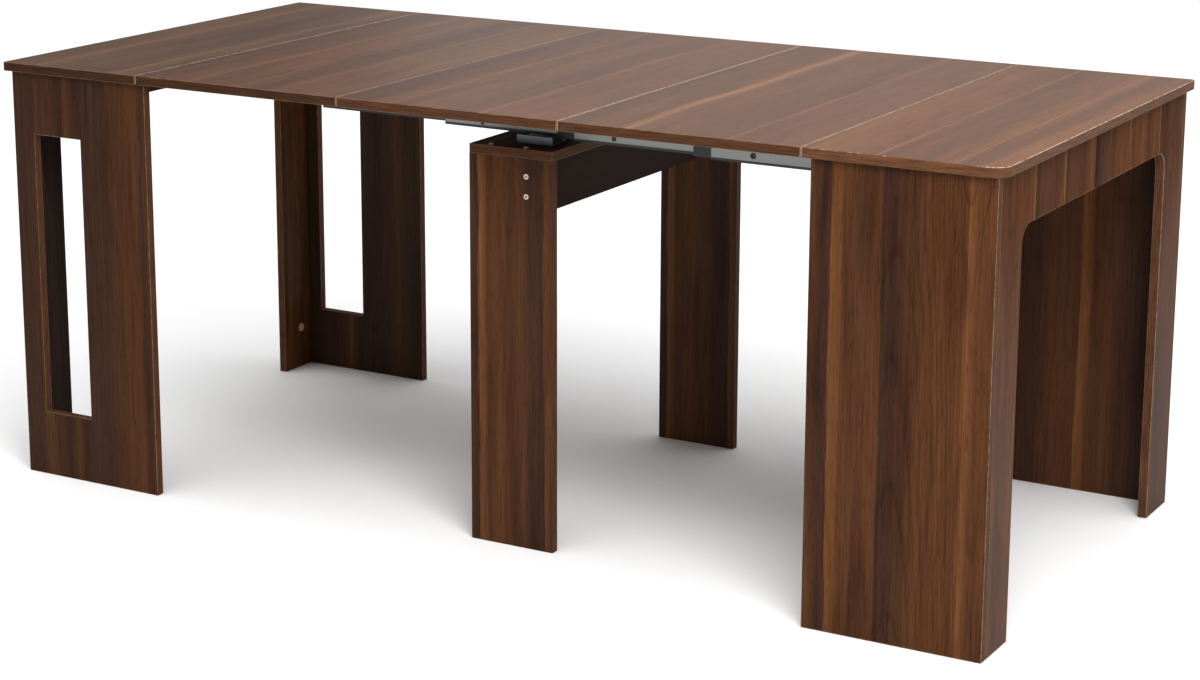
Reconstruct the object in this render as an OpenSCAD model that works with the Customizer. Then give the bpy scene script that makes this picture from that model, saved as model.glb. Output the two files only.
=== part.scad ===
// Extending dining table, drawn fully open, in millimetres with Z up.
// The square end and three loose leaves lie to -X, the end with rounded corners to +X.
// Telescopic runners carry the middle leg, and the near long side is at -Y.

/* [Overall] */

// Length with all three leaves in place
table_l = 1900; // [1760:10:2000]

// Width across the tops
table_w = 900; // [850:5:950]

// Height from the floor to the top face
table_h = 765; // [735:5:790]

/* [Tops] */

// Thickness of every board
board_t = 16; // [15:1:18]

// Length of the square end top
end_left_l = 300; // [290:5:320]

// Length of the rounded end top; the leaves share what is left
end_right_l = 325; // [315:5:345]

// Radius of the near corner of the rounded end top
corner_r = 28; // [15:1:60]

// Radius of the far corner of the rounded end top
corner_far_r = 8; // [4:1:60]

// Clear gap between neighbouring tops
seam_gap = 0.4; // [0.2:0.1:1]

// Diameter of the alignment pins in the seams
pin_d = 8; // [6:1:9]

// How far a pin reaches into each board
pin_reach = 12; // [8:1:20]

// Spacing of the outer pins from the middle one, as a share of the width
pin_share = 0.333; // [0.2:0.01:0.4]

/* [Side and end boards] */

// Overhang of the tops past the long sides
side_inset = 8; // [4:1:20]

// Overhang of the tops past the two ends
end_inset = 12; // [6:1:24]

// Width of a side board along the table
side_l = 300; // [280:2:304]

// Width of a slot in a side board of the square end
slot_w = 106; // [60:2:140]

// Distance from the outer edge of a side board to its slot
slot_from_edge = 46; // [30:2:70]

// Height of the slot above the floor
slot_base = 120; // [60:5:200]

// Height of the slot itself
slot_h = 517; // [300:1:540]

// Distance from the long edge of the tops to the inner side of a post of an end frame
post_w = 113; // [80:1:150]

// Height of the rail across the head of an end frame
head_h = 92; // [70:1:130]

// Corner radius of the opening in an end frame
arch_r = 32; // [20:1:60]

/* [Middle leg] */

// Distance from the left end of member 4 to the middle of the leg
mid_in = 168; // [120:2:180]

// Width of the middle leg boards along the table
mid_l = 160; // [120:2:180]

// Distance of the middle leg boards from the long edges
mid_inset = 104; // [90:1:130]

// Clear gap between the middle leg and the largest member
mid_gap = 4.8; // [4:0.2:20]

// Height of the beam between the middle leg boards
beam_h = 99; // [70:1:120]

// Offset of the beam from the middle of the leg
beam_off = 31; // [0:1:60]

/* [Runners] */

// Distance from a long edge to the outer face of a runner
run_inset = 160; // [150:1:200]

// Gap between the runners and the end frame of the rounded end
run_gap_r = 10; // [5:1:20]

// Gap between the runners and the end frame of the square end when closed
run_gap_l = 39; // [20:1:60]

// Height of the largest member
run_h = 54; // [50:1:54]

// Depth of the largest member across the table
run_d = 26; // [25:1:30]

// Sheet thickness of the members
sheet_t = 1.6; // [1.2:0.1:1.8]

// Step in half height from one member to the next
step_z = 4.5; // [4.3:0.1:4.6]

// Step in depth from one member to the next
step_y = 3.5; // [3.4:0.1:3.8]

// Length of a ball retainer
cage_l = 190; // [150:5:220]

// How far the two largest retainers show past the end of their members
cage_show = 33; // [0:1:40]

// Free play around a retainer
cage_play = 0.3; // [0.2:0.1:0.4]

// Diameter of the round holes in a member, as a share of its half height
hole_share = 0.38; // [0.2:0.02:0.44]

// How far below the middle of a member its holes lie, as a share of its half height
hole_drop = 0.5; // [0:0.02:0.54]

// Distance of the round holes from the member ends
hole_in = 75; // [40:5:100]

/* [Fittings] */

// Thickness of the steel fixing plates
plate_t = 2.5; // [2:0.5:3]

// Width of the flanges of the fixing plates
plate_w = 26; // [15:1:30]

// Distance of the fixing plates from the seams and member ends
plate_in = 12; // [8:1:30]

// Width of the plate that carries the middle leg
hanger_l = 68; // [40:2:90]

// Offset of that plate from the middle of the leg
hanger_off = 21; // [-20:1:40]

// How far that plate reaches out past the runner
hanger_out = 14; // [12:1:24]

// Height of its outer lip
hanger_h = 14; // [6:0.5:18]

// Length of a leaf bearer along the table
bearer_l = 60; // [30:5:90]

// Distance of a leaf bearer from the left end of its member
bearer_in = 72; // [66:2:90]

// Diameter of a cover cap
cap_d = 17; // [12:1:20]

// Distance of the cover caps from the post edge
cap_in = 32; // [20:1:45]

// Height of the lower cover caps
cap_low = 84; // [60:2:140]

// Diameter of a screw head
screw_d = 9; // [7:1:10]

// Length of the screws through the middle leg
screw_l = 42; // [30:1:50]

// Distance of the first upright screw from the left edge of the leg
down_in = 38; // [20:1:60]

// Spacing of the upright screws
down_step = 67; // [40:1:80]

/* [Hidden] */

$fn = 48;
seat = 0.2;
leaf_l = (table_l - end_left_l - end_right_l) / 3;
open_travel = 3 * leaf_l;
x_min = -table_l / 2;
x_max = table_l / 2;
y_edge = table_w / 2;
top_z = table_h - board_t;
seam_1 = x_min + end_left_l;
seam_2 = seam_1 + leaf_l;
seam_3 = seam_2 + leaf_l;
seam_4 = seam_3 + leaf_l;
side_y = y_edge - side_inset;
side_in = side_y - board_t;
side_h = top_z - seat;
left_x = x_min + end_inset;
right_x = x_max - end_inset;
post_in = y_edge - post_w;
arch_h = table_h - board_t - head_h;
corner_max = max(corner_r, corner_far_r);
run_y = y_edge - run_inset;
run_in = run_y - run_d;
run_z = top_z - seat - run_h / 2;
run_step = open_travel / 5;
run_l = end_left_l + end_right_l - 2 * end_inset - 2 * board_t - run_gap_l - run_gap_r;
run_x = right_x - board_t - run_gap_r - run_l;
mid_x = run_x - 2 * run_step + mid_in;
mid_a = mid_x - mid_l / 2;
mid_y = y_edge - mid_inset;
mid_h = run_z - run_h / 2 - mid_gap;
mid_top_z = mid_h - board_t;
beam_x = mid_x + beam_off;
beam_z = mid_top_z - beam_h;
screw_low = beam_z + beam_h * 0.36;
screw_high = beam_z + beam_h * 0.70;
down_x_1 = mid_a + down_in;
down_x_2 = down_x_1 + down_step;
down_y = mid_y - board_t / 2;
pin_step = pin_share * table_w;
pin_z = top_z + board_t / 2;
pin_clear = 0.2;
bore = 0.2;
cage_t = step_y - sheet_t - 2 * cage_play;
cage_f = step_z - sheet_t - 2 * cage_play;
head_t = 1.6;
run_play = 0.3;

// A box from its lowest corner to its highest
module box(a, b) {
  translate(a)
    cube(b - a);
}

// Near and far halves are drawn at +Y and turned over for -Y
module at_side(s) {
  scale([1, s, 1])
    children();
}

// Sockets or pins across a seam: three rods of length reach past x
module seam_rods(x, back, front, d) {
  for (k = [-1, 0, 1]) {
    translate([x - back, k * pin_step, pin_z])
      rotate([0, 90, 0])
        cylinder(h = back + front, d = d);
  }
}

// One flat top board between two seams, bored for pins at the ends that are asked for
module board(xa, xb, bore_a, bore_b) {
  difference() {
    box([xa, -y_edge, top_z], [xb, y_edge, table_h]);
    if (bore_a)
      seam_rods(xa, 1, pin_reach + 0.5, pin_d + 2 * pin_clear);
    if (bore_b)
      seam_rods(xb, pin_reach + 0.5, 1, pin_d + 2 * pin_clear);
  }
}

module top_left() {
  color("#8a6248")
    board(x_min, seam_1 - seam_gap / 2, false, true);
}

module leaf_1() {
  color("#8a6248")
    board(seam_1 + seam_gap / 2, seam_2 - seam_gap / 2, true, true);
}

module leaf_2() {
  color("#8a6248")
    board(seam_2 + seam_gap / 2, seam_3 - seam_gap / 2, true, true);
}

module leaf_3() {
  color("#8a6248")
    board(seam_3 + seam_gap / 2, seam_4 - seam_gap / 2, true, true);
}

// One rounded corner of the end top, filled up to the flat parts of the board
module top_corner(s, r) {
  at_side(s) {
    translate([x_max - r, y_edge - r, top_z])
      cylinder(h = board_t, r = r, $fn = 96);
    box([x_max - corner_max - 1, y_edge - r - 1, top_z], [x_max - r, y_edge, table_h]);
  }
}

module top_right() {
  color("#8a6248")
    difference() {
      union() {
        box([seam_4 + seam_gap / 2, -y_edge, top_z], [x_max - corner_max, y_edge, table_h]);
        box([x_max - corner_max - 1, corner_r - y_edge, top_z], [x_max, y_edge - corner_far_r, table_h]);
        top_corner(-1, corner_r);
        top_corner(1, corner_far_r);
      }
      seam_rods(seam_4 + seam_gap / 2, 1, pin_reach + 0.5, pin_d + 2 * pin_clear);
    }
}

// Side board of the square end, with its tall slot
module side_left() {
  difference() {
    box([left_x, side_in, 0], [left_x + side_l, side_y, side_h]);
    box([left_x + slot_from_edge, side_in - 1, slot_base],
        [left_x + slot_from_edge + slot_w, side_y + 1, slot_base + slot_h]);
  }
}

module side_right() {
  box([right_x - side_l, side_in, 0], [right_x, side_y, side_h]);
}

module side_left_near() {
  color("#6f4b36")
    at_side(-1)
      side_left();
}

module side_left_far() {
  color("#6f4b36")
    at_side(1)
      side_left();
}

module side_right_near() {
  color("#6f4b36")
    at_side(-1)
      side_right();
}

module side_right_far() {
  color("#6f4b36")
    at_side(1)
      side_right();
}

// End frame: two posts and a head cut from one board, with rounded inner corners
module end_frame(xa) {
  xb = xa + board_t;
  w = side_in - seat;
  difference() {
    box([xa, -w, 0], [xb, w, side_h]);
    box([xa - 1, -post_in, -1], [xb + 1, post_in, arch_h - arch_r]);
    box([xa - 1, arch_r - post_in, -1], [xb + 1, post_in - arch_r, arch_h]);
    for (s = [-1, 1])
      translate([xa - 1, s * (post_in - arch_r), arch_h - arch_r])
        rotate([0, 90, 0])
          cylinder(h = board_t + 2, r = arch_r, $fn = 96);
  }
}

// Blind bores for the cover caps in the inner face of an end frame
module cap_rods(x, deep, d) {
  for (s = [-1, 1])
    for (z = [cap_low, arch_h + head_h / 2])
      translate([x, s * (side_in - cap_in), z])
        rotate([0, 90, 0])
          cylinder(h = deep, d = d);
}

module end_left() {
  color("#6f4b36")
    difference() {
      end_frame(left_x);
      cap_rods(left_x + board_t - 2, 3, cap_d + 2 * bore);
    }
}

module end_right() {
  color("#6f4b36")
    difference() {
      end_frame(right_x - board_t);
      cap_rods(right_x - board_t - 1, 3, cap_d + 2 * bore);
    }
}

module caps_left() {
  color("#c79a6b")
    cap_rods(left_x + board_t - 2 + seat, 2.3, cap_d);
}

module caps_right() {
  color("#c79a6b")
    cap_rods(right_x - board_t - 0.5, 2.3, cap_d);
}

// Bores for the screws through one board of the middle leg
module mid_bores(grow) {
  for (z = [screw_low, screw_high])
    translate([beam_x, mid_y + 1, z])
      rotate([90, 0, 0])
        cylinder(h = screw_l + 1 + grow, d = screw_d * 0.6 + 2 * grow, $fn = 32);
  for (x = [down_x_1, down_x_2])
    translate([x, down_y, mid_h + 1 - screw_l - 4 * grow])
      cylinder(h = screw_l + 4 * grow, d = screw_d * 0.6 + 2 * grow, $fn = 32);
}

module mid_leg() {
  difference() {
    box([mid_a, mid_y - board_t, 0], [mid_a + mid_l, mid_y, mid_top_z - seat]);
    mid_bores(bore);
  }
}

module mid_leg_near() {
  color("#6f4b36")
    at_side(-1)
      mid_leg();
}

module mid_leg_far() {
  color("#6f4b36")
    at_side(1)
      mid_leg();
}

module mid_top() {
  color("#6f4b36")
    difference() {
      box([mid_a, -mid_y, mid_top_z], [mid_a + mid_l, mid_y, mid_h]);
      for (s = [-1, 1])
        at_side(s)
          mid_bores(bore);
    }
}

module mid_beam() {
  w = mid_y - board_t - seat;
  color("#6f4b36")
    difference() {
      box([beam_x - board_t / 2, -w, beam_z], [beam_x + board_t / 2, w, mid_top_z - seat]);
      for (s = [-1, 1])
        at_side(s)
          mid_bores(bore);
    }
}

// Screws of one middle leg board, with flat round heads on the faces
module screws_mid() {
  for (z = [screw_low, screw_high]) {
    translate([beam_x, mid_y + seat + head_t, z])
      rotate([90, 0, 0])
        cylinder(h = head_t, d = screw_d, $fn = 32);
    translate([beam_x, mid_y + seat + 0.5, z])
      rotate([90, 0, 0])
        cylinder(h = screw_l, d = screw_d * 0.6, $fn = 32);
  }
  for (x = [down_x_1, down_x_2]) {
    translate([x, down_y, mid_h + seat])
      cylinder(h = head_t, d = screw_d, $fn = 32);
    translate([x, down_y, mid_h + seat + 0.5 - screw_l])
      cylinder(h = screw_l, d = screw_d * 0.6, $fn = 32);
  }
}

module screws_mid_near() {
  color("#b9b9b9")
    at_side(-1)
      screws_mid();
}

module screws_mid_far() {
  color("#b9b9b9")
    at_side(1)
      screws_mid();
}

// Left end of member k; member 6 is fixed to the rounded end, member 1 to the square end
function run_a(k) = run_x - (6 - k) * run_step;

// Half height and outer face of member k
function run_half(k) = run_h / 2 - (6 - k) * step_z;
function run_face(k) = run_y - (6 - k) * step_y;

// A channel open towards the middle of the table
module channel(xa, xb, face, half, web, lip) {
  difference() {
    box([xa, run_in, run_z - half], [xb, face, run_z + half]);
    box([xa - 1, run_in - 1, run_z - half + lip], [xb + 1, face - web, run_z + half - lip]);
  }
}

// Member k of a runner, with two round holes in its web
module run(k) {
  a = run_a(k);
  difference() {
    channel(a, a + run_l, run_face(k), run_half(k), sheet_t, sheet_t);
    for (x = [a + hole_in, a + run_l - hole_in])
      translate([x, run_face(k) + 1, run_z - hole_drop * run_half(k)])
        rotate([90, 0, 0])
          cylinder(h = sheet_t + 2, d = hole_share * run_half(k), $fn = 32);
  }
}

// The smallest member is a solid bar
module run_bar() {
  box([run_a(1), run_in, run_z - run_half(1)], [run_a(1) + run_l, run_face(1), run_z + run_half(1)]);
}

module run_1_near() {
  color("#a7a9aa")
    at_side(-1)
      run_bar();
}

module run_2_near() {
  color("#a7a9aa")
    at_side(-1)
      run(2);
}

module run_3_near() {
  color("#a7a9aa")
    at_side(-1)
      run(3);
}

module run_4_near() {
  color("#a7a9aa")
    at_side(-1)
      run(4);
}

module run_5_near() {
  color("#a7a9aa")
    at_side(-1)
      run(5);
}

module run_6_near() {
  color("#a7a9aa")
    at_side(-1)
      run(6);
}

module run_1_far() {
  color("#a7a9aa")
    at_side(1)
      run_bar();
}

module run_2_far() {
  color("#a7a9aa")
    at_side(1)
      run(2);
}

module run_3_far() {
  color("#a7a9aa")
    at_side(1)
      run(3);
}

module run_4_far() {
  color("#a7a9aa")
    at_side(1)
      run(4);
}

module run_5_far() {
  color("#a7a9aa")
    at_side(1)
      run(5);
}

module run_6_far() {
  color("#a7a9aa")
    at_side(1)
      run(6);
}

// Retainer k lies between member k and the next larger one
module cage(k) {
  a = run_a(k + 1) - (k > 3 ? cage_show : 0);
  face = run_face(k + 1) - sheet_t - cage_play;
  half = run_half(k + 1) - sheet_t - cage_play;
  channel(a, a + cage_l, face, half, cage_t, cage_f);
}

module cage_1_near() {
  color("#1d1d1f")
    at_side(-1)
      cage(1);
}

module cage_2_near() {
  color("#1d1d1f")
    at_side(-1)
      cage(2);
}

module cage_3_near() {
  color("#1d1d1f")
    at_side(-1)
      cage(3);
}

module cage_4_near() {
  color("#1d1d1f")
    at_side(-1)
      cage(4);
}

module cage_5_near() {
  color("#1d1d1f")
    at_side(-1)
      cage(5);
}

module cage_1_far() {
  color("#1d1d1f")
    at_side(1)
      cage(1);
}

module cage_2_far() {
  color("#1d1d1f")
    at_side(1)
      cage(2);
}

module cage_3_far() {
  color("#1d1d1f")
    at_side(1)
      cage(3);
}

module cage_4_far() {
  color("#1d1d1f")
    at_side(1)
      cage(4);
}

module cage_5_far() {
  color("#1d1d1f")
    at_side(1)
      cage(5);
}

// Angle plate that holds the bar to the square end top
module plate_left() {
  xa = run_a(1) + plate_in;
  xb = seam_1 - plate_in;
  yb = run_in - seat;
  box([xa, yb - plate_t, run_z - run_half(1)], [xb, yb, top_z - seat]);
  box([xa, yb - plate_w, top_z - seat - plate_t], [xb, yb, top_z - seat]);
}

// Angle plate that holds the largest member to the rounded end top
module plate_right() {
  xa = seam_4 + plate_in;
  xb = run_x + run_l - plate_in;
  ya = run_y + seat;
  box([xa, ya, run_z - run_h / 2 + seat], [xb, ya + plate_t, top_z - seat]);
  box([xa, ya, top_z - seat - plate_t], [xb, ya + plate_w, top_z - seat]);
}

// Plate that hangs the middle leg on the edge of member 4
module hanger() {
  xa = mid_x + hanger_off - hanger_l / 2;
  xb = xa + hanger_l;
  ya = run_in - run_play;
  yb = run_y + hanger_out;
  za = mid_h + seat;
  edge_z = run_z - run_half(4) + sheet_t;
  box([xa, ya - plate_t, za], [xb, ya, edge_z]);
  box([xa, ya - plate_t, za], [xb, yb, za + plate_t]);
  box([xa, yb - plate_t, za], [xb, yb, za + hanger_h]);
}

module plate_left_near() {
  color("#8d8f91")
    at_side(-1)
      plate_left();
}

module plate_left_far() {
  color("#8d8f91")
    at_side(1)
      plate_left();
}

module plate_right_near() {
  color("#8d8f91")
    at_side(-1)
      plate_right();
}

module plate_right_far() {
  color("#8d8f91")
    at_side(1)
      plate_right();
}

module hanger_near() {
  color("#8d8f91")
    at_side(-1)
      hanger();
}

module hanger_far() {
  color("#8d8f91")
    at_side(1)
      hanger();
}

// Bearer under a leaf, which stands on member k
module bearer(k) {
  x = run_a(k) + bearer_in;
  box([x, run_in, run_z + run_half(k) + seat], [x + bearer_l, run_face(k), top_z - seat]);
}

module bearer_1_near() {
  color("#2a2a2c")
    at_side(-1)
      bearer(2);
}

module bearer_2_near() {
  color("#2a2a2c")
    at_side(-1)
      bearer(4);
}

module bearer_3_near() {
  color("#2a2a2c")
    at_side(-1)
      bearer(5);
}

module bearer_1_far() {
  color("#2a2a2c")
    at_side(1)
      bearer(2);
}

module bearer_2_far() {
  color("#2a2a2c")
    at_side(1)
      bearer(4);
}

module bearer_3_far() {
  color("#2a2a2c")
    at_side(1)
      bearer(5);
}

module pins_left() {
  color("#d9c7a4")
    seam_rods(seam_1, pin_reach, pin_reach, pin_d);
}

module pins_1() {
  color("#d9c7a4")
    seam_rods(seam_2, pin_reach, pin_reach, pin_d);
}

module pins_2() {
  color("#d9c7a4")
    seam_rods(seam_3, pin_reach, pin_reach, pin_d);
}

module pins_3() {
  color("#d9c7a4")
    seam_rods(seam_4, pin_reach, pin_reach, pin_d);
}

top_left();
leaf_1();
leaf_2();
leaf_3();
top_right();
side_left_near();
side_left_far();
side_right_near();
side_right_far();
end_left();
end_right();
mid_leg_near();
mid_leg_far();
mid_top();
mid_beam();
run_1_near();
run_2_near();
run_3_near();
run_4_near();
run_5_near();
run_6_near();
run_1_far();
run_2_far();
run_3_far();
run_4_far();
run_5_far();
run_6_far();
cage_1_near();
cage_2_near();
cage_3_near();
cage_4_near();
cage_5_near();
cage_1_far();
cage_2_far();
cage_3_far();
cage_4_far();
cage_5_far();
plate_left_near();
plate_left_far();
plate_right_near();
plate_right_far();
hanger_near();
hanger_far();
bearer_1_near();
bearer_2_near();
bearer_3_near();
bearer_1_far();
bearer_2_far();
bearer_3_far();
pins_left();
pins_1();
pins_2();
pins_3();
caps_left();
caps_right();
screws_mid_near();
screws_mid_far();
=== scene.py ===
# Looks of an extending dining table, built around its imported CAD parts.
import math
import bpy
from mathutils import Matrix, Vector


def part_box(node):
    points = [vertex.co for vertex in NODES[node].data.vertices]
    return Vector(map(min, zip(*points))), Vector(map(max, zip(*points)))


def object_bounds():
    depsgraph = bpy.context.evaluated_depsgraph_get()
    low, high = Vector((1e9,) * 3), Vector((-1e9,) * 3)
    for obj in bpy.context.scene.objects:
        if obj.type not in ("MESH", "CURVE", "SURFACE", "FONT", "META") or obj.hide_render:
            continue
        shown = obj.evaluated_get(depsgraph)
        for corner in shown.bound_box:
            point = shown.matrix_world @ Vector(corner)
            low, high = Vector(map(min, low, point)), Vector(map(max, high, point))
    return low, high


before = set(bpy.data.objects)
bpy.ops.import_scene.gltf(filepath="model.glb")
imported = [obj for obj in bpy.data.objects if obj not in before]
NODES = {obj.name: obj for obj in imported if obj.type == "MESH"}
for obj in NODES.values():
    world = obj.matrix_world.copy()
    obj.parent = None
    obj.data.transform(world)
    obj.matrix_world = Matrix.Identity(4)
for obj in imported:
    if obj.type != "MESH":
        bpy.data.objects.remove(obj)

CAD_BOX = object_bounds()
SIDES = ("near", "far")
X, Y, Z = range(3)

# Extents of the table, in metres, read from the frame
X_MIN, X_MAX = CAD_BOX[0].x, CAD_BOX[1].x
TOP_Z = CAD_BOX[1].z

# Sockets of the Mix node that carry colours
MIX_A, MIX_B, MIX_RESULT = 6, 7, 2

# A face looks along an axis where that part of its normal is more than this
FACING = 0.7


def srgb(*values):
    """Linear colour of display values from 0 to 255."""
    linear = []
    for value in values:
        value = value / 255
        linear.append(value / 12.92 if value <= 0.04045 else ((value + 0.055) / 1.055) ** 2.4)
    return (*linear, 1.0)


def grey(value):
    """Grey that carries a number through a ramp or a mix."""
    return (value, value, value, 1.0)


class Graph:
    """Short names for building a material's nodes."""

    def __init__(self, name):
        self.mat = bpy.data.materials.new(name)
        self.mat.use_nodes = True
        self.tree = self.mat.node_tree
        self.tree.nodes.clear()
        self.bsdf = self.tree.nodes.new("ShaderNodeBsdfPrincipled")
        out = self.tree.nodes.new("ShaderNodeOutputMaterial")
        self.put(out.inputs["Surface"], self.bsdf.outputs["BSDF"])

    def put(self, socket, value):
        """Links another node's socket, or sets a plain value."""
        if isinstance(value, bpy.types.NodeSocket):
            self.tree.links.new(value, socket)
        else:
            socket.default_value = value

    def finish(self, colour, rough, metal=0.0, spec=0.5):
        """Sets the shader and gives the material back."""
        self.put(self.bsdf.inputs["Base Color"], colour)
        self.put(self.bsdf.inputs["Roughness"], rough)
        self.put(self.bsdf.inputs["Metallic"], metal)
        self.put(self.bsdf.inputs["Specular IOR Level"], spec)
        return self.mat

    def calc(self, operation, a, b=0.0, clamp=False):
        """Result of one Math node."""
        node = self.tree.nodes.new("ShaderNodeMath")
        node.operation = operation
        node.use_clamp = clamp
        self.put(node.inputs[0], a)
        self.put(node.inputs[1], b)
        return node.outputs[0]

    def add(self, a, b):
        return self.calc("ADD", a, b)

    def subtract(self, a, b):
        return self.calc("SUBTRACT", a, b)

    def times(self, a, b):
        return self.calc("MULTIPLY", a, b)

    def within(self, value, middle, half):
        """One where a value is less than half away from the middle."""
        return self.calc("LESS_THAN", self.calc("ABSOLUTE", self.subtract(value, middle)), half)

    def facing(self, normal):
        """One on faces that look along the axis of this part of the normal."""
        return self.calc("GREATER_THAN", self.calc("ABSOLUTE", normal), FACING)

    def any_of(self, marks):
        """One where any of the marks is one."""
        joined, *others = marks
        for mark in others:
            joined = self.calc("MAXIMUM", joined, mark)
        return joined

    def mix(self, share, a, b, blend="MIX"):
        """Blends colour b into colour a, as far as share says."""
        node = self.tree.nodes.new("ShaderNodeMix")
        node.data_type = "RGBA"
        node.blend_type = blend
        node.clamp_factor = True
        self.put(node.inputs["Factor"], share)
        self.put(node.inputs[MIX_A], a)
        self.put(node.inputs[MIX_B], b)
        return node.outputs[MIX_RESULT]

    def shade(self, share, tint, colour):
        """Multiplies a colour by a tint, as far as share says."""
        return self.mix(share, colour, (*tint, 1.0), "MULTIPLY")

    def scale(self, colour, value):
        """Multiplies a colour by a number."""
        return self.mix(1.0, colour, grey(value), "MULTIPLY")

    def ramp(self, value, stops):
        """Colour that follows stops of a value and a colour."""
        node = self.tree.nodes.new("ShaderNodeValToRGB")
        elements = node.color_ramp.elements
        while len(elements) > 1:
            elements.remove(elements[-1])
        elements[0].position, elements[0].color = stops[0]
        for place, colour in stops[1:]:
            elements.new(place).color = colour
        self.put(node.inputs[0], value)
        return node.outputs[0]

    def curve(self, value, stops, strength=1.0):
        """Number that follows stops of a value and a result, with all results times strength."""
        return self.ramp(value, [(place, grey(result * strength)) for place, result in stops])

    def noise(self, place, detail=4.0, rough=0.55, distort=0.0):
        node = self.tree.nodes.new("ShaderNodeTexNoise")
        node.inputs["Scale"].default_value = 1.0
        node.inputs["Detail"].default_value = detail
        node.inputs["Roughness"].default_value = rough
        node.inputs["Distortion"].default_value = distort
        self.put(node.inputs["Vector"], place)
        return node.outputs[0]

    def vector(self, *parts):
        node = self.tree.nodes.new("ShaderNodeCombineXYZ")
        for socket, part in zip(node.inputs, parts):
            self.put(socket, part)
        return node.outputs[0]

    def stretched(self, axes, repeats):
        """Vector of three axes, each times its repeats."""
        return self.vector(*(self.times(axis, count) for axis, count in zip(axes, repeats)))

    def coordinates(self, kind):
        """The three parts of a point's place in the object, or of its normal."""
        source = self.tree.nodes.new("ShaderNodeTexCoord")
        node = self.tree.nodes.new("ShaderNodeSeparateXYZ")
        self.put(node.inputs[0], source.outputs[kind])
        return list(node.outputs)


# Tones of the walnut laminate
TONES = {
    "black": srgb(47, 33, 27),
    "dark": srgb(67, 44, 31),
    "plum": srgb(71, 44, 34),
    "brown": srgb(83, 52, 33),
    "mid": srgb(94, 58, 34),
    "light": srgb(106, 67, 40),
    "amber": srgb(122, 78, 44),
    "tan": srgb(132, 90, 56),
}
# Edge band, pale core of the boards, and joints between planks
BAND_LIGHT = srgb(98, 65, 43)
BAND_DARK = srgb(76, 49, 34)
CORE = srgb(205, 180, 158)
JOINT_DARK = srgb(58, 35, 26)
JOINT_WARM = srgb(160, 112, 76)
# Tint of boards whose look has none
NO_TINT = (1.0, 1.0, 1.0)

# Fields of noise in the wood, with their repeats in a metre across and along the grain
BEND_FIELD = {"across": 4.0, "along": 2.6, "detail": 4.0, "rough": 0.55}
CLOUD_FIELD = {"across": 15.0, "along": 1.6, "detail": 4.0, "rough": 0.55, "distort": 0.7}
STREAK_FIELD = {"across": 80.0, "along": 2.4, "detail": 3.0, "rough": 0.6, "distort": 0.3}
FINE_FIELD = {"across": 330.0, "along": 8.0, "detail": 3.0, "rough": 0.6}
PORE_FIELD = {"across": 760.0, "along": 34.0, "detail": 2.0, "rough": 0.55}
GROWTH_FIELD = {"across": 7.0, "along": 1.1, "detail": 2.0, "rough": 0.4, "distort": 0.4}
PATCH_FIELD = {"across": 6.0, "along": 1.3, "detail": 1.0, "rough": 0.5}
WAVE_FIELD = {"across": 16.0, "along": 5.0, "detail": 3.0, "rough": 0.5}

# Layers of darker and warmer wood: the values at which a field is darkest and warmest, the colours that
# multiply the wood there, and the strength of the layer
CLOUDS = {
    "dark_at": 0.36, "warm_at": 0.68, "dark": (0.61, 0.55, 0.52), "warm": (1.32, 1.24, 1.12), "strength": 0.7,
}
STREAKS = {
    "dark_at": 0.38, "warm_at": 0.66, "dark": (0.66, 0.62, 0.58), "warm": (1.26, 1.20, 1.12), "strength": 0.5,
}
FINE_STREAKS = {
    "dark_at": 0.36, "warm_at": 0.70, "dark": (0.64, 0.58, 0.56), "warm": (1.24, 1.19, 1.14), "strength": 0.7,
}
WARM_SHARE = 0.85

# Growth lines are contours of a field: how many, how dark they are from one contour to the next,
# and the values of another field at which patches of them show
GROWTH_CONTOURS = 17.0
GROWTH_PROFILE = ((0.0, 1.0), (0.14, 0.25), (0.5, 0.0), (0.93, 0.1), (1.0, 1.0))
GROWTH_PATCHES = ((0.42, 0.2), (0.56, 0.95))
GROWTH_TINT = (0.52, 0.46, 0.45)

# Arched growth lines: how fast an arch falls away beside its middle, the lines in a metre of height,
# how far they wave in metres, and how dark they are from one line to the next
FLAME_BEND = 170.0
FLAME_LINES = 5.0
FLAME_WAVE = 0.30
FLAME_PROFILE = ((0.0, 0.7), (0.16, 0.2), (0.5, 0.0), (0.9, 0.1), (1.0, 0.7))
FLAME_TINT = (0.62, 0.56, 0.52)

# Pores: how far they darken the wood at values of their field, their colour and their relief
PORE_PROFILE = ((0.58, 0.0), (0.66, 0.75))
PORE_TINT = (0.42, 0.36, 0.35)
RELIEF_STRENGTH = 0.05
RELIEF_HEIGHT = 0.0003

# Planks: how far their edges fray and what is added to their run, in metres, and the middle value of noise
PLANK_FRAY = 0.012
PLANK_SPARE = 0.001
NOISE_MIDDLE = 0.5

# Joints between planks: half their width in metres, and how much they show
JOINT_HALF = 0.0007
JOINT_STRENGTH = 0.5

# Edge band: repeats of its grain in a metre across, along and through the board, its contrast,
# and its specular level
BAND_GRAIN = (18.0, 18.0, 380.0)
BAND_CONTRAST = ((0.38, 0.0), (0.62, 1.0))
BAND_SPEC = 0.03

# Pale core of the board at a seam: half its width in metres, repeats of its wear in a metre,
# and how much it shows
CORE_HALF = 0.0013
CORE_GRAIN = 70.0
CORE_WEAR = ((0.35, 0.3), (0.6, 0.9))

# What is left of the sheen above the upper height of a look that is dull
DULL_REST = 0.1


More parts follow.
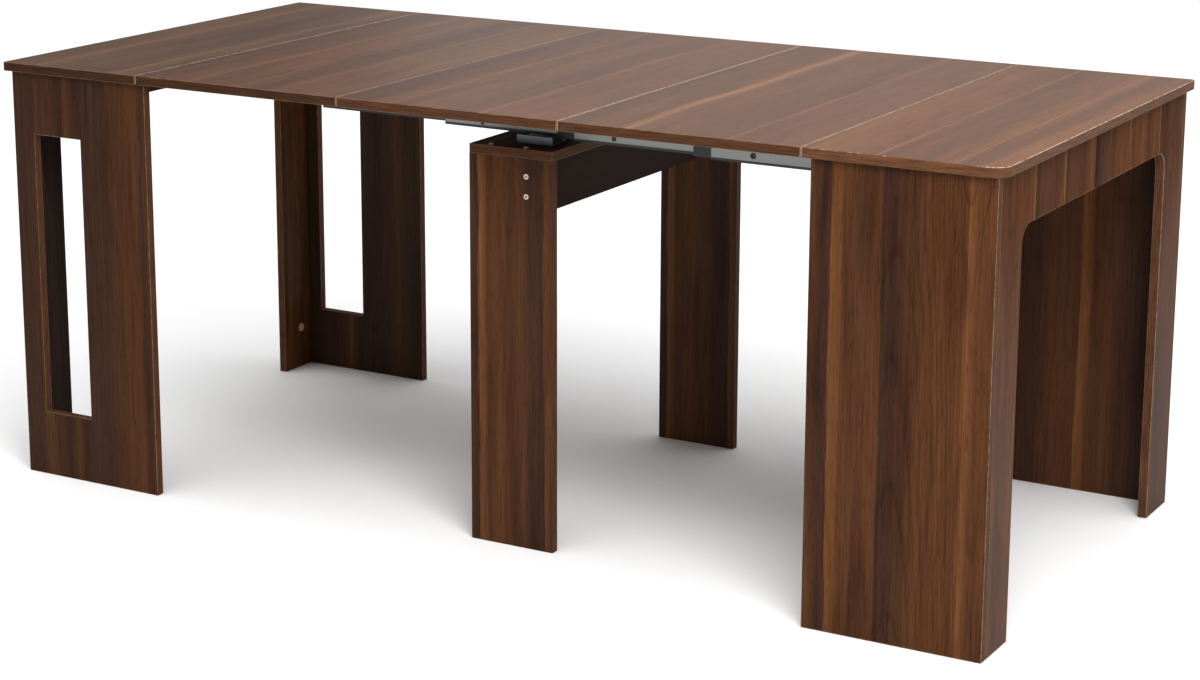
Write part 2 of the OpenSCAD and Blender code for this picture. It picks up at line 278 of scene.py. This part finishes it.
class Wood(Graph):
    """Walnut laminate of one board; axes are those across and along the grain and through the board."""

    def __init__(self, name, axes, start, seed, look):
        super().__init__(name)
        self.start = start
        self.seed = seed
        self.look = look
        place = self.coordinates("Object")
        normal = self.coordinates("Normal")
        self.height = place[Z]
        self.across, self.along, self.through = (place[axis] for axis in axes)
        self.normal_across, _, self.normal_through = (normal[axis] for axis in axes)
        self.seeded = self.add(self.across, seed)

    def field(self, across, along, detail, rough, distort=0.0):
        """Noise stretched along the grain, different for each seed."""
        place = self.vector(self.times(self.seeded, across), self.times(self.along, along), self.seed)
        return self.noise(place, detail, rough, distort)

    def vary(self, colour, value, dark_at, warm_at, dark, warm, strength):
        """Darkens the wood where a field is low, and warms it where the field is high."""
        strength = strength * self.look["grain"]
        middle = (dark_at + warm_at) / 2
        low = self.curve(value, ((dark_at, strength), (middle, 0.0)))
        high = self.curve(value, ((middle, 0.0), (warm_at, strength * WARM_SHARE)))
        return self.shade(high, warm, self.shade(low, dark, colour))

    def planks(self, stops, fine):
        """Planks whose edges wander and fray along the grain."""
        bent = self.times(self.subtract(self.field(**BEND_FIELD), NOISE_MIDDLE), self.look["wander"])
        frayed = self.times(self.subtract(fine, NOISE_MIDDLE), PLANK_FRAY)
        place = self.add(self.subtract(self.across, self.start), self.add(bent, frayed))
        length = stops[-1][0] + PLANK_SPARE
        tones = [(at / length, TONES[tone]) for at, tone in stops]
        colour = self.ramp(self.calc("DIVIDE", place, length, clamp=True), tones)
        return self.mix(self.look["soft"], colour, TONES["mid"])

    def growth_lines(self, colour):
        """Growth lines that run along the grain, in patches."""
        ring = self.calc("FRACT", self.times(self.field(**GROWTH_FIELD), GROWTH_CONTOURS))
        patches = self.curve(self.field(**PATCH_FIELD), GROWTH_PATCHES, self.look["figure"])
        return self.shade(self.times(patches, self.curve(ring, GROWTH_PROFILE)), GROWTH_TINT, colour)

    def flame(self, colour):
        """Growth lines in tall arches, inside one plank."""
        middle, left, right = self.look["flame"]
        beside = self.subtract(self.across, self.start + middle)
        arch = self.times(self.times(beside, beside), FLAME_BEND)
        wave = self.times(self.field(**WAVE_FIELD), FLAME_WAVE)
        height = self.add(self.add(self.along, arch), wave)
        ring = self.calc("FRACT", self.times(height, FLAME_LINES))
        inside = self.within(self.across, self.start + (left + right) / 2, (right - left) / 2)
        return self.shade(self.times(self.curve(ring, FLAME_PROFILE), inside), FLAME_TINT, colour)

    def joints(self, colour, places):
        """Fine lines between planks, at places in metres from the start."""
        marks = self.any_of([self.within(self.across, self.start + at, JOINT_HALF) for at in places])
        return self.mix(self.times(marks, JOINT_STRENGTH), colour, self.look["joint"])

    def edge_band(self):
        """Band on the narrow faces, with grain along its length."""
        grain = self.noise(self.stretched((self.across, self.along, self.through), BAND_GRAIN))
        band = self.mix(self.curve(grain, BAND_CONTRAST), BAND_DARK, BAND_LIGHT)
        # On the tops this brightness is a painted light, darker to the left and brighter to the right.
        return self.scale(band, self.look.get("band", 1.0))

    def cores(self, colour, ends):
        """Pale core along the seams; each end is a place on the axis across the grain, and a strength."""
        place = self.stretched((0.0, self.along, self.through), (CORE_GRAIN,) * 3)
        worn = self.curve(self.noise(place, detail=3.0), CORE_WEAR)
        beside = self.subtract(1.0, self.facing(self.normal_across))
        for at, strength in ends:
            shown = self.times(self.calc("MULTIPLY", worn, strength, clamp=True), beside)
            colour = self.mix(self.times(self.within(self.across, at, CORE_HALF), shown), colour, CORE)
        return colour

    def sheen(self, flat):
        """Specular level, lower on the edge band, which fades with height on a look that is dull."""
        level = self.curve(flat, ((0.0, BAND_SPEC), (1.0, self.look["spec"])))
        if "dull" not in self.look:
            return level
        low, high = self.look["dull"]
        return self.mix(1.0, level, self.curve(self.height, ((low, 1.0), (high, DULL_REST))), "MULTIPLY")

    def relief(self, height):
        """Fine relief on all faces."""
        node = self.tree.nodes.new("ShaderNodeBump")
        node.inputs["Strength"].default_value = RELIEF_STRENGTH
        node.inputs["Distance"].default_value = RELIEF_HEIGHT
        self.put(node.inputs["Height"], height)
        self.put(self.bsdf.inputs["Normal"], node.outputs[0])


def walnut(name, axes, start, stops, seed, look, joints=(), ends=()):
    """Material of one board; start is where its stops and joints begin on the axis across the grain."""
    wood = Wood(name, axes, start, seed, look)
    fine = wood.field(**FINE_FIELD)
    pores = wood.field(**PORE_FIELD)
    colour = wood.planks(stops, fine)
    colour = wood.vary(colour, wood.field(**CLOUD_FIELD), **CLOUDS)
    colour = wood.vary(colour, wood.field(**STREAK_FIELD), **STREAKS)
    colour = wood.growth_lines(colour)
    if "flame" in look:
        colour = wood.flame(colour)
    colour = wood.vary(colour, fine, **FINE_STREAKS)
    colour = wood.shade(wood.curve(pores, PORE_PROFILE, look["grain"]), PORE_TINT, colour)
    if joints:
        colour = wood.joints(colour, joints)
    # Painted light and shade: the tint makes the broad faces greyer on boards in shade and on the tops to the
    # left, and warmer on the top at the right end.
    colour = wood.shade(1.0, look.get("tint", NO_TINT), colour)
    flat = wood.facing(wood.normal_through)
    colour = wood.mix(flat, wood.edge_band(), colour)
    if ends:
        colour = wood.cores(colour, ends)
    wood.relief(pores)
    return wood.finish(wood.scale(colour, look["lift"]), look["rough"], spec=wood.sheen(flat))


# Pale lines on corners, partly wear and partly a painted highlight of the lit edges: repeats of their noise
# in a metre, the values at which their light parts start and are full on a corner with a cover of 0, and how
# much earlier they start with a cover of 1
WEAR_AND_HIGHLIGHT_GRAIN = 90.0
WEAR_AND_HIGHLIGHT_START, WEAR_AND_HIGHLIGHT_FULL = 0.60, 0.72
WEAR_AND_HIGHLIGHT_COVER = 0.3


def edge_line(name, pale, cover, past=()):
    """Pale line along corners, partly wear and partly a painted highlight of the lit edge; pale is how light
    it gets, and cover how much of it is light.

    Each entry of past is an axis, a place on it, and what is left of the line before that place."""
    graph = Graph(name)
    axes = graph.coordinates("Object")
    worn = graph.noise(graph.stretched(axes, (WEAR_AND_HIGHLIGHT_GRAIN,) * 3), rough=0.7)
    for axis, place, rest in past:
        beyond = graph.calc("GREATER_THAN", axes[axis], place)
        worn = graph.times(worn, graph.add(graph.times(beyond, 1.0 - rest), rest))
    earlier = cover * WEAR_AND_HIGHLIGHT_COVER
    mark = graph.curve(worn, ((WEAR_AND_HIGHLIGHT_START - earlier, 0.0), (WEAR_AND_HIGHLIGHT_FULL - earlier, 1.0)))
    light = tuple(band + (core - band) * pale for band, core in zip(BAND_LIGHT, CORE))
    return graph.finish(graph.mix(mark, BAND_LIGHT, light), rough=0.5, spec=0.2)


def plain(name, colour, rough, spec=0.5):
    """Material of one colour that isn't metal."""
    return Graph(name).finish(colour, rough, spec=spec)


# Steel: how metallic it is, repeats of its streaks in a metre, how dark they get,
# and the painted shade on a runner's race, the lip that faces down, with its height in metres
METAL = 0.6
STEEL_GRAIN = (5.0, 300.0, 300.0)
STEEL_SHADE = 0.8
RACE_SHADE = srgb(52, 54, 54)
RACE_HEIGHT = 0.0045

# Screws in the middle leg: their heights as shares of the beam's height, the radius of their recess
# in metres, the colour of their heads, and the painted shade in their recesses
SCREW_SHARES = (0.36, 0.70)
SCREW_RECESS = 0.0021
SCREW_BRIGHT = srgb(196, 194, 188)
SCREW_RECESS_SHADE = srgb(96, 90, 84)


def steel(name, colour, rough, race_top=None):
    """Zinc plated sheet with faint lengthwise streaks, and painted shade on the race below a height."""
    graph = Graph(name)
    axes = graph.coordinates("Object")
    shaded = tuple(part * STEEL_SHADE for part in colour[:3]) + (1.0,)
    shown = graph.mix(graph.noise(graph.stretched(axes, STEEL_GRAIN)), shaded, colour)
    if race_top is not None:
        # Painted shade on the downward lip of the race, below race_top.
        shown = graph.mix(graph.calc("LESS_THAN", axes[Z], race_top), shown, RACE_SHADE)
    return graph.finish(shown, rough, METAL)


def screw_metal(name, side):
    """Bright screw heads of one middle leg board, with painted shade in the recess at the middle of each
    head.
    """
    graph = Graph(name)
    source = graph.tree.nodes.new("ShaderNodeTexCoord")
    low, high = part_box("screws_mid_" + side)
    beam_low, beam_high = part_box("mid_beam")
    face = low[Y] if side == "near" else high[Y]
    recesses = []
    for share in SCREW_SHARES:
        height = beam_low[Z] + (beam_high[Z] - beam_low[Z]) * share
        node = graph.tree.nodes.new("ShaderNodeVectorMath")
        node.operation = "DISTANCE"
        graph.put(node.inputs[0], source.outputs["Object"])
        node.inputs[1].default_value = ((beam_low[X] + beam_high[X]) / 2, face, height)
        recesses.append(graph.calc("LESS_THAN", node.outputs["Value"], SCREW_RECESS))
    # Painted shade in the recess of each head.
    colour = graph.mix(graph.any_of(recesses), SCREW_BRIGHT, SCREW_RECESS_SHADE)
    return graph.finish(colour, rough=0.35, metal=METAL)


# Looks of the walnut:
# lift is the brightness of the whole board, partly its own tone and partly painted light and shade,
# rough its roughness, and spec the specular level of its broad faces;
# wander is how far the planks bend, in metres, and soft how far they are drawn to one tone;
# figure is the strength of the growth lines, and grain that of the clouds, streaks and pores;
# joint is the colour of the joints between planks, tint a colour of painted light and shade that multiplies
# the broad faces, and band the brightness of the edge band, which on the tops is a painted light;
# dull are the heights, in metres, between which the sheen fades out;
# flame is a plank with arched growth lines: its middle and its two sides, in metres from the board's start.
TOP_LOOK = {
    "lift": 1.1, "rough": 0.42, "spec": 0.27, "wander": 0.05, "soft": 0.3, "figure": 0.3, "grain": 0.62,
    "joint": JOINT_WARM,
}
FACE_LOOK = {
    "lift": 0.79, "rough": 0.5, "spec": 0.05, "wander": 0.03, "soft": 0.0, "figure": 0.7, "grain": 1.0,
    "joint": JOINT_DARK,
}
END_LOOK = {
    "lift": 0.91, "rough": 0.55, "spec": 0.11, "wander": 0.006, "soft": 0.0, "figure": 0.4, "grain": 1.0,
    "joint": JOINT_WARM, "dull": (0.25, 0.66),
}
# Painted shade: the square end's frame is a darker, greyer and less shiny copy of the end look.
END_LEFT_LOOK = {**END_LOOK, "lift": 0.86, "spec": 0.06, "tint": (1.0, 1.08, 1.12), "joint": JOINT_DARK}
FLAME_LOOK = {**FACE_LOOK, "wander": 0.022, "grain": 0.85, "flame": (0.143, 0.120, 0.256)}
QUIET_LOOK = {**FACE_LOOK, "figure": 0.15, "wander": 0.016, "grain": 0.8}
# Painted shade: the beam under the tops is a much darker, less shiny copy of the quiet look.
INNER_SHADE_LOOK = {**QUIET_LOOK, "lift": 0.36, "spec": 0.03, "grain": 0.6}
# Painted light: the far right board, whose inner face is lit, is a brighter copy of the quiet look.
FAR_SIDE_LOOK = {**QUIET_LOOK, "lift": 0.92}
# Boards that the photograph shows in shade are a little less red there
SHADE_LOOK = {**QUIET_LOOK, "tint": (1.0, 1.14, 1.28)}

# Planks of the tops, from the square end to the rounded end: places in metres along X, and the tone at each
TOP_STOPS = [
    (0.000, "brown"), (0.045, "brown"), (0.068, "mid"), (0.084, "mid"), (0.100, "brown"),
    (0.225, "dark"), (0.240, "mid"), (0.262, "mid"), (0.276, "brown"), (0.299, "brown"),
    (0.301, "dark"), (0.345, "plum"), (0.395, "brown"), (0.410, "mid"), (0.420, "mid"),
    (0.432, "brown"), (0.458, "mid"), (0.505, "mid"), (0.528, "brown"), (0.584, "brown"),
    (0.590, "light"), (0.603, "mid"), (0.724, "mid"),
    (0.726, "plum"), (0.750, "plum"), (0.790, "brown"), (0.822, "mid"), (0.830, "light"),
    (0.839, "mid"), (0.848, "brown"), (0.878, "mid"), (0.925, "mid"), (0.945, "brown"),
    (0.999, "brown"), (1.005, "light"), (1.018, "mid"), (1.149, "mid"),
    (1.151, "brown"), (1.200, "brown"), (1.218, "mid"), (1.255, "mid"), (1.269, "tan"),
    (1.275, "tan"), (1.284, "mid"), (1.385, "mid"), (1.405, "brown"), (1.444, "brown"),
    (1.449, "light"), (1.458, "mid"), (1.574, "mid"),
    (1.590, "light"), (1.688, "mid"), (1.694, "light"), (1.702, "brown"), (1.745, "brown"),
    (1.790, "mid"), (1.812, "light"), (1.822, "light"), (1.836, "brown"), (1.862, "brown"),
    (1.872, "light"), (1.900, "light"),
]
# Each top board: the joints between its planks in metres along X, how far the pale core shows at its
# right seam, and how its look departs from the others: a painted light, with the tops greyer, darker and
# with more sheen to the left, and warmer and brighter to the right, as the light falls off to the left
TOPS = {
    "top_left": ((0.076, 0.250), 1.0, {"band": 0.42, "spec": 0.29, "tint": (1.0, 1.25, 1.60)}),
    "leaf_1": ((0.414, 0.592), 0.8, {"band": 0.46, "spec": 0.28, "tint": (1.0, 1.10, 1.24)}),
    "leaf_2": ((0.831, 1.006), 1.6, {"band": 0.68}),
    "leaf_3": ((1.273, 1.450), 1.3, {"band": 0.62, "spec": 0.26, "lift": 1.13}),
    "top_right": ((1.697, 1.820), 0.0, {"band": 0.94, "spec": 0.205, "lift": 1.17, "tint": (1.03, 1.0, 0.9)}),
}
# How far past a top board its stops are kept, in metres, and the step of the seeds from one top to the next
STOP_REACH = 0.002
SEED_STEP = 3.7

# Planks of the other boards, in metres from the start of each board
SIDE_RIGHT_STOPS = [
    (0.000, "mid"), (0.010, "brown"), (0.022, "dark"), (0.034, "plum"), (0.038, "amber"),
    (0.055, "light"), (0.057, "mid"), (0.090, "brown"), (0.119, "mid"), (0.121, "dark"),
    (0.138, "plum"), (0.165, "brown"), (0.190, "mid"), (0.252, "mid"), (0.257, "amber"),
    (0.266, "light"), (0.273, "mid"), (0.300, "mid"),
]
# Painted shade: the far right board's planks darken towards its ends, to black at its right end beside the
# post.
SIDE_RIGHT_FAR_STOPS = [
    (0.000, "dark"), (0.055, "dark"), (0.070, "brown"), (0.128, "brown"), (0.131, "amber"),
    (0.147, "light"), (0.154, "brown"), (0.192, "brown"), (0.205, "dark"), (0.300, "black"),
]
# Painted shade: the near left board's planks are drawn in darker tones, as the light falls off to the left.
SIDE_LEFT_STOPS = [
    (0.000, "dark"), (0.040, "dark"), (0.050, "brown"), (0.090, "brown"), (0.100, "dark"),
    (0.112, "dark"), (0.117, "mid"), (0.128, "brown"), (0.136, "dark"), (0.200, "dark"),
    (0.222, "brown"), (0.275, "mid"), (0.285, "dark"), (0.300, "brown"),
]
SIDE_LEFT_FAR_STOPS = [
    (0.000, "dark"), (0.085, "dark"), (0.100, "brown"), (0.118, "mid"), (0.126, "brown"),
    (0.140, "dark"), (0.215, "dark"), (0.240, "brown"), (0.260, "dark"), (0.300, "dark"),
]
END_RIGHT_STOPS = [
    (0.000, "mid"), (0.130, "mid"), (0.136, "amber"), (0.141, "dark"), (0.162, "brown"),
    (0.225, "brown"), (0.262, "mid"), (0.267, "amber"), (0.272, "dark"), (0.300, "brown"),
    (0.381, "mid"), (0.386, "amber"), (0.402, "amber"), (0.406, "black"), (0.432, "brown"),
    (0.560, "mid"), (0.574, "light"), (0.580, "mid"), (0.722, "mid"), (0.727, "amber"),
    (0.733, "brown"), (0.790, "brown"), (0.884, "mid"),
]
# Painted shade: the square end's planks are black beside its near post, whose inner face lies in shade.
END_LEFT_STOPS = [
    (0.000, "black"), (0.125, "black"), (0.140, "dark"), (0.300, "plum"), (0.310, "brown"),
    (0.420, "dark"), (0.520, "brown"), (0.640, "brown"), (0.650, "dark"), (0.745, "brown"),
    (0.755, "mid"), (0.860, "mid"),
]
MIDDLE_STOPS = [
    (0.000, "brown"), (0.014, "dark"), (0.019, "amber"), (0.029, "light"), (0.036, "brown"),
    (0.064, "mid"), (0.080, "brown"), (0.106, "brown"), (0.116, "dark"), (0.144, "dark"),
    (0.147, "light"), (0.156, "mid"), (0.160, "brown"),
]
# The beam's planks are all dark tones, part of its painted shade under the tops.
BEAM_STOPS = [(0.000, "dark"), (0.040, "plum"), (0.070, "dark"), (0.099, "dark")]
END_JOINTS = (0.137, 0.268, 0.387, 0.575, 0.728)

# Axes across and along the grain and through the board
FLAT_AXES = (X, Y, Z)
SIDE_AXES = (X, Z, Y)
END_AXES = (Y, Z, X)
BEAM_AXES = (Z, Y, X)

# Each board under the tops: its axes, its planks, the joints between them in metres from the board's start,
# the seed of its grain, its look, and the pale line at its corners, partly wear and partly a painted
# highlight
BOARDS = {
    "side_right_near": (SIDE_AXES, SIDE_RIGHT_STOPS, (0.056, 0.256), 1.3, FLAME_LOOK, "low_wear_and_highlight"),
    "side_right_far": (SIDE_AXES, SIDE_RIGHT_FAR_STOPS, (0.130,), 9.1, FAR_SIDE_LOOK, "faint_wear_and_highlight"),
    "side_left_near": (SIDE_AXES, SIDE_LEFT_STOPS, (0.116,), 5.2, QUIET_LOOK, "faint_wear_and_highlight"),
    "side_left_far": (SIDE_AXES, SIDE_LEFT_FAR_STOPS, (0.116,), 6.4, SHADE_LOOK, "faint_wear_and_highlight"),
    "mid_leg_near": (SIDE_AXES, MIDDLE_STOPS, (0.145,), 2.6, QUIET_LOOK, "faint_wear_and_highlight"),
    "mid_leg_far": (SIDE_AXES, MIDDLE_STOPS, (0.145,), 7.7, SHADE_LOOK, "faint_wear_and_highlight"),
    "end_left": (END_AXES, END_LEFT_STOPS, END_JOINTS, 4.4, END_LEFT_LOOK, "faint_wear_and_highlight"),
    "end_right": (END_AXES, END_RIGHT_STOPS, END_JOINTS, 8.3, END_LOOK, "arch_wear_and_highlight"),
    "mid_top": (FLAT_AXES, MIDDLE_STOPS, (), 3.3, QUIET_LOOK, "faint_wear_and_highlight"),
    "mid_beam": (BEAM_AXES, BEAM_STOPS, (), 6.1, INNER_SHADE_LOOK, "faint_wear_and_highlight"),
}

# Softened edges, in metres: those of boards, of small pieces and of the thin retainers
BOARD_BEVEL = 0.0009
SMALL_BEVEL = 0.0003
CAGE_BEVEL = 0.0002
# Points nearer to each other than this, in metres, are joined first, and corners past this angle are softened
WELD_REACH = 0.00001
CORNER_ANGLE = math.radians(40)
# Boards with small bores, beside which the bevel keeps its width
BORED = (*TOPS, "end_left", "end_right")

# The pale line of wear and painted highlight on the rounded end's top keeps to this depth at its upper
# corner, and is full over this length at the end
TOP_WEAR_AND_HIGHLIGHT_DEPTH = 0.004
TOP_WEAR_AND_HIGHLIGHT_LENGTH = 0.03
# The pale line of wear and painted highlight on the end frame is full from this far behind its near corner
ARCH_WEAR_AND_HIGHLIGHT_INSET = 0.02

# Runner members, ball retainers and bearers on each side
STAGES = 6
RETAINERS = 5
BEARERS = 3

# Pale lines on the corners: partly wear, and partly a painted highlight where the edges catch the light.
wear_and_highlight = {
    "top_wear_and_highlight": edge_line("top_wear_and_highlight", pale=0.80, cover=0.72, past=(
        (Z, TOP_Z - TOP_WEAR_AND_HIGHLIGHT_DEPTH, 0.0),
        (X, X_MAX - TOP_WEAR_AND_HIGHLIGHT_LENGTH, 0.70),
    )),
    "low_wear_and_highlight": edge_line("low_wear_and_highlight", pale=0.28, cover=0.6),
    "arch_wear_and_highlight": edge_line("arch_wear_and_highlight", pale=0.24, cover=0.7, past=(
        (Y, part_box("end_right")[0][Y] + ARCH_WEAR_AND_HIGHLIGHT_INSET, 0.7),
    )),
    "faint_wear_and_highlight": edge_line("faint_wear_and_highlight", pale=0.12, cover=0.5),
}


def dress(name, material, bevel=SMALL_BEVEL, edge=None):
    """Gives a CAD node its material and softens its edges, which can have a material of their own."""
    node = NODES[name]
    node.data.materials.clear()
    node.data.materials.append(material)
    node.modifiers.new("join", "WELD").merge_threshold = WELD_REACH
    soft = node.modifiers.new("edges", "BEVEL")
    soft.width = bevel
    soft.segments = 1
    soft.limit_method = "ANGLE"
    soft.angle_limit = CORNER_ANGLE
    soft.harden_normals = True
    soft.use_clamp_overlap = name not in BORED
    if edge:
        node.data.materials.append(edge)
        soft.segments = 2
        soft.material = 1


def dress_tops():
    """The top boards share one run of planks along X, and each has its own grain, joints and seams."""
    left_seam = 0.0
    for index, (name, (joints, right_seam, own)) in enumerate(TOPS.items()):
        low, high = (corner[X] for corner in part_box(name))
        ends = [(at, strength) for at, strength in ((low, left_seam), (high, right_seam)) if strength]
        stops = [stop for stop in TOP_STOPS if low - STOP_REACH < X_MIN + stop[0] < high + STOP_REACH]
        look = {**TOP_LOOK, **own}
        wood = walnut("top_" + name, FLAT_AXES, X_MIN, stops, SEED_STEP * index, look, joints, ends)
        dress(name, wood, BOARD_BEVEL, wear_and_highlight["top_wear_and_highlight" if name == "top_right" else "faint_wear_and_highlight"])
        left_seam = right_seam


def dress_boards():
    """Boards under the tops, whose planks start at their low side across the grain."""
    for name, (axes, stops, joints, seed, look, corners) in BOARDS.items():
        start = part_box(name)[0][axes[0]]
        wood = walnut(name + "_wood", axes, start, stops, seed, look, joints)
        dress(name, wood, BOARD_BEVEL, wear_and_highlight[corners])


def dress_runners():
    """Runners with their retainers, the plates that hold them, and the bearers under the leaves."""
    plate = steel("plate_zinc", srgb(128, 134, 138), rough=0.4)
    black = plain("retainer_black", srgb(26, 27, 29), rough=0.5)
    for stage in range(1, STAGES + 1):
        race_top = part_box("run_%d_near" % stage)[0][Z] + RACE_HEIGHT
        zinc = steel("runner_zinc_%d" % stage, srgb(143, 147, 144), rough=0.42, race_top=race_top)
        for side in SIDES:
            dress("run_%d_%s" % (stage, side), zinc)
    for side in SIDES:
        for count in range(1, RETAINERS + 1):
            dress("cage_%d_%s" % (count, side), black, CAGE_BEVEL)
        for count in range(1, BEARERS + 1):
            dress("bearer_%d_%s" % (count, side), black)
        for kind in ("plate_left", "plate_right", "hanger"):
            dress("%s_%s" % (kind, side), plate)


def dress_small_pieces():
    """Pins, caps, and the screws of the middle leg."""
    beech = plain("pin_beech", srgb(196, 164, 116), rough=0.6)
    tan = plain("cap_tan", srgb(212, 154, 104), rough=0.45)
    for name in ("pins_left", "pins_1", "pins_2", "pins_3"):
        dress(name, beech)
    for name in ("caps_left", "caps_right"):
        dress(name, tan)
    for side in SIDES:
        dress("screws_mid_" + side, screw_metal("screw_nickel_" + side, side))


dress_tops()
dress_boards()
dress_runners()
dress_small_pieces()

# Floor: half its size and how far it lies under the feet, in metres, and its colour
FLOOR_HALF = 30
FLOOR_DROP = 0.0005
FLOOR_WHITE = grey(0.94)

# Strength of the even light from all round
WORLD_STRENGTH = 0.24

# Camera, solved from the table's corners. The focal length and the middle of the lens are in pixels of the
# 1200 by 680 frame, the sensor in millimetres, the angles in degrees, and the camera's place and the far end
# of its view in metres.
FRAME_WIDTH, FRAME_HEIGHT = 1200, 680
SENSOR = 36.0
FOCAL = 2657.5
CENTRE_X, CENTRE_Y = 570.0, 240.0
TURN, FALL, ROLL = (math.radians(angle) for angle in (-30.182, 13.002, 0.066))
CAMERA_PLACE = (2.2944, -4.0093, 1.5257)
VIEW_END = 200


def into_scene(name, data):
    """Puts a mesh, light or camera into the scene."""
    thing = bpy.data.objects.new(name, data)
    bpy.context.scene.collection.objects.link(thing)
    return thing


def pale_floor():
    """Plain pale sheet under the feet."""
    mesh = bpy.data.meshes.new("floor")
    corners = [(x * FLOOR_HALF, y * FLOOR_HALF, 0) for x, y in ((-1, -1), (1, -1), (1, 1), (-1, 1))]
    mesh.from_pydata(corners, [], [(0, 1, 2, 3)])
    mesh.materials.append(plain("floor_white", FLOOR_WHITE, rough=0.9, spec=0.1))
    sheet = into_scene("floor", mesh)
    sheet.location.z = -FLOOR_DROP
    return sheet


def studio_world():
    """White light from all round."""
    world = bpy.data.worlds.new("studio")
    bpy.context.scene.world = world
    world.use_nodes = True
    background = world.node_tree.nodes["Background"]
    background.inputs["Color"].default_value = grey(1.0)
    background.inputs["Strength"].default_value = WORLD_STRENGTH


def sun_light(name, tilt_x, tilt_y, strength, angle):
    """Broad light from above, tilted about X and Y; the angles are in degrees."""
    light = bpy.data.lights.new(name, "SUN")
    light.energy = strength
    light.angle = math.radians(angle)
    into_scene(name, light).rotation_euler = (math.radians(tilt_x), math.radians(tilt_y), 0)


def area_light(name, place, target, power, width, height=None):
    """Panel of light that looks at a target, and is square where it has no height of its own."""
    light = bpy.data.lights.new(name, "AREA")
    light.energy = power
    light.size = width
    if height:
        light.shape = "RECTANGLE"
        light.size_y = height
    panel = into_scene(name, light)
    panel.location = place
    panel.rotation_mode = "QUATERNION"
    panel.rotation_quaternion = (Vector(target) - Vector(place)).to_track_quat("-Z", "Y")


def photo_camera():
    """Camera at the photograph's viewing angle, with the shift of its framing."""
    lens = bpy.data.cameras.new("camera")
    lens.sensor_fit = "HORIZONTAL"
    lens.sensor_width = SENSOR
    lens.lens = FOCAL / FRAME_WIDTH * SENSOR
    lens.shift_x = (FRAME_WIDTH / 2 - CENTRE_X) / FRAME_WIDTH
    lens.shift_y = (CENTRE_Y - FRAME_HEIGHT / 2) / FRAME_WIDTH
    lens.clip_end = VIEW_END
    forward = Vector((math.cos(FALL) * math.sin(TURN), math.cos(FALL) * math.cos(TURN), -math.sin(FALL)))
    level = Vector((math.cos(TURN), -math.sin(TURN), 0))
    rise = level.cross(forward)
    right = level * math.cos(ROLL) + rise * math.sin(ROLL)
    up = rise * math.cos(ROLL) - level * math.sin(ROLL)
    rows = [(right[k], up[k], -forward[k], CAMERA_PLACE[k]) for k in range(3)]
    camera = into_scene("camera", lens)
    camera.matrix_world = Matrix((*rows, (0, 0, 0, 1)))
    return camera


floor = pale_floor()

# Soft studio light from above, from the near right and from behind
studio_world()
sun_light("overhead", tilt_x=9, tilt_y=4, strength=2.7, angle=80)
area_light("key", place=(2.2, -2.3, 3.2), target=(0.8, -0.3, 0.4), power=115, width=1.8)
area_light("rear", place=(-1.3, 4.6, 2.1), target=(0.0, 0.0, 0.7), power=17, width=4.0, height=2.4)
bpy.context.scene.view_settings.view_transform = "Standard"

bpy.context.scene.camera = photo_camera()
